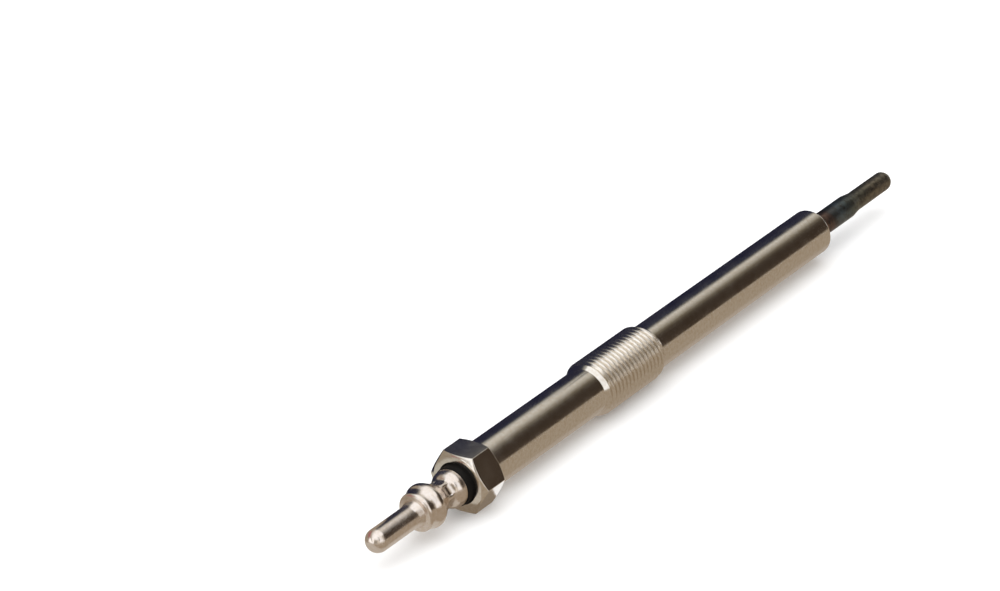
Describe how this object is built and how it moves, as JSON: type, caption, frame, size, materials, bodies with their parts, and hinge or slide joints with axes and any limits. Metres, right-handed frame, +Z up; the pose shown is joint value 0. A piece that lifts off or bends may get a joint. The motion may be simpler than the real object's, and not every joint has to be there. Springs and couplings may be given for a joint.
{
  "type": "diesel glow plug",
  "caption": "Long slim diesel glow plug with a pin terminal, a hexagon, a threaded waist on a plated shank and a swaged heater tube.",
  "frame": {"origin": "on the plug's axis, at the middle of the thread", "axes": "+X along the plug from the terminal to the heater tip, +Z up out of the top flat of the hexagon, +Y to the side by the right-hand rule"},
  "size_m": [0.15, 0.0116, 0.01],
  "materials": {
    "plated_body": "bright nickel plating over turned steel",
    "plated_terminal": "bright nickel plating over turned steel",
    "bare_steel": "drawn steel rod",
    "black_bush": "moulded black resin, slightly glossy",
    "black_rubber": "smooth moulded rubber",
    "tinted_sheath": "heat-tinted nickel alloy, brown to blue and olive",
    "resistance_wire": "drawn resistance wire",
    "packed_powder": "packed white magnesium oxide powder"
  },
  "bodies": {
    "root": {"body_shell": "plated_body", "terminal_cap": "plated_terminal", "centre_rod": "bare_steel", "insulating_bush": "black_bush", "seal_ring": "black_rubber", "heater_sheath": "tinted_sheath", "tube_seal": "black_rubber", "control_coil": "resistance_wire", "heating_coil": "resistance_wire", "magnesia_filling": "packed_powder"}
  },
  "joints": []
}
